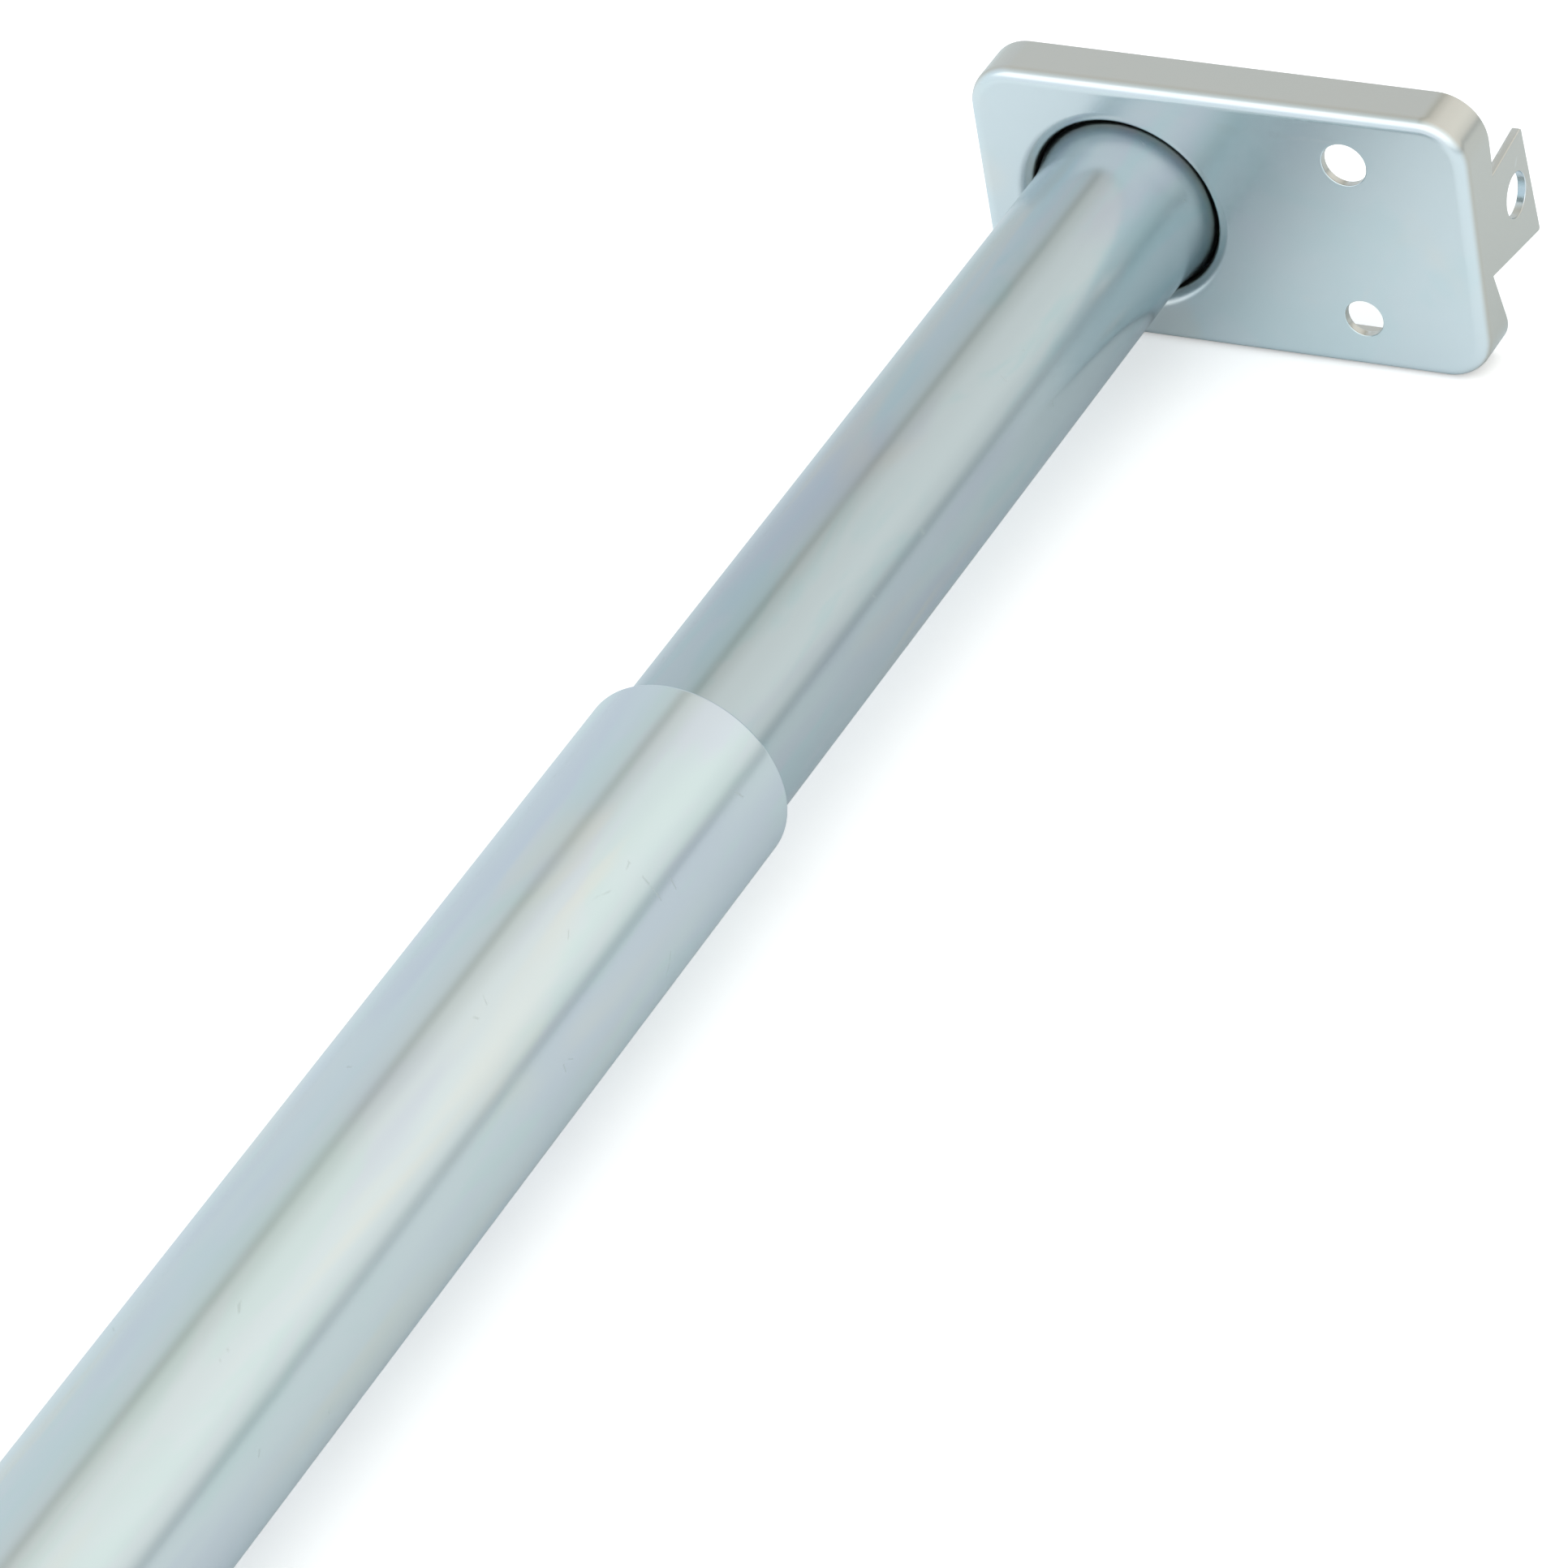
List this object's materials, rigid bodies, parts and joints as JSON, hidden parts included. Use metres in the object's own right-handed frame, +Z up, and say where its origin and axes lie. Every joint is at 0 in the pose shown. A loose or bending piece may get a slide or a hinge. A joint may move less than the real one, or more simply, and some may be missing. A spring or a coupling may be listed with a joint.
{
  "type": "ratcheting cargo bar",
  "caption": "Telescoping steel cargo bar with swivelling pressed feet, a snap-button extension and a ratchet jack that drives a slotted tube.",
  "frame": {"origin": "centre of the bar's length, on the floor under its middle", "axes": "+X along the bar towards the extension's foot, +Y across it, +Z up; the tube axis is 31.75 mm above the floor"},
  "size_m": [1.3598, 0.1626, 0.0957],
  "materials": {
    "zinc_main_tube": "bright zinc with a clear blue passivate, satin gloss",
    "zinc_inner_tube": "bright zinc with a clear blue passivate, satin gloss",
    "zinc_pan": "bright zinc with a clear blue passivate, satin gloss",
    "zinc_cup": "bright zinc, satin",
    "zinc_jack": "bright zinc, satin gloss",
    "zinc_handle": "bright zinc, satin gloss",
    "nylon": "natural nylon, matte",
    "spring_steel": "plain spring steel",
    "button_steel": "zinc-plated turned steel",
    "weld_metal": "plated weld bead, dull",
    "grip_rubber": "black moulded vinyl, matte",
    "pin_steel": "zinc-plated rivet steel",
    "pawl_steel": "hardened steel, thin zinc"
  },
  "bodies": {
    "main": {"main_tube": "zinc_main_tube", "rack_bush": "nylon", "jack_bracket": "zinc_jack", "end_guide": "zinc_jack", "jack_welds": "weld_metal", "handle_pivot_pin": "pin_steel", "holding_pawl_pin": "pin_steel", "holding_pawl_spring": "spring_steel", "holding_pawl_spacers": "pin_steel"},
    "extension": {"extension_tube": "zinc_inner_tube", "button_spring": "spring_steel"},
    "snap_button": {"snap_button": "button_steel"},
    "washer_a": {"thrust_washer_a": "nylon"},
    "foot_a": {"foot_pan_a": "zinc_pan", "retainer_cup_a": "zinc_cup"},
    "rack": {"rack_tube": "zinc_inner_tube"},
    "washer_b": {"thrust_washer_b": "nylon"},
    "foot_b": {"foot_pan_b": "zinc_pan", "retainer_cup_b": "zinc_cup"},
    "handle": {"handle_lever": "zinc_handle", "handle_grip": "grip_rubber", "drive_pawl_pin": "pin_steel", "drive_pawl_spring": "spring_steel", "drive_pawl_spacers": "pin_steel"},
    "drive_pawl": {"drive_pawl": "pawl_steel"},
    "holding_pawl": {"holding_pawl": "pawl_steel"}
  },
  "joints": [
    {"name": "extension_slide", "type": "slide", "parent": "main", "child": "extension", "axis": [1, 0, 0], "range_m": [-0.18, 0.18]},
    {"name": "button_press", "type": "slide", "parent": "extension", "child": "snap_button", "axis": [0, 0, 1], "range_m": [0, 0.0055], "stiffness_N_per_m": 400, "springref_m": -0.006, "deforming": ["button_spring"]},
    {"name": "foot_a_tilt", "type": "hinge", "parent": "extension", "child": "washer_a", "pos_m": [0.65455, 0, 0.03175], "axis": [0, 1, 0], "range_deg": [-2, 2]},
    {"name": "foot_a_swivel", "type": "hinge", "parent": "washer_a", "child": "foot_a", "pos_m": [0.65455, 0, 0.03175], "axis": [1, 0, 0], "continuous": true},
    {"name": "rack_slide", "type": "slide", "parent": "main", "child": "rack", "axis": [-1, 0, 0], "range_m": [-0.08, 0.28]},
    {"name": "foot_b_tilt", "type": "hinge", "parent": "rack", "child": "washer_b", "pos_m": [-0.65455, 0, 0.03175], "axis": [0, 1, 0], "range_deg": [-2, 2]},
    {"name": "foot_b_swivel", "type": "hinge", "parent": "washer_b", "child": "foot_b", "pos_m": [-0.65455, 0, 0.03175], "axis": [1, 0, 0], "continuous": true},
    {"name": "handle_swing", "type": "hinge", "parent": "main", "child": "handle", "pos_m": [-0.4665, 0, 0.07175], "axis": [0, -1, 0], "range_deg": [0, 100]},
    {"name": "drive_pawl_swing", "type": "hinge", "parent": "handle", "child": "drive_pawl", "pos_m": [-0.4755, 0, 0.06103], "axis": [0, -1, 0], "range_deg": [-100, 0]},
    {"name": "holding_pawl_lift", "type": "hinge", "parent": "main", "child": "holding_pawl", "pos_m": [-0.5105, 0, 0.06175], "axis": [0, 1, 0], "range_deg": [0, 20], "stiffness_Nm_per_rad": 0.1, "springref_deg": -20.05}
  ],
  "couplings": [
    {"joint": "drive_pawl_swing", "follows": "handle_swing", "ratio": -1}
  ]
}
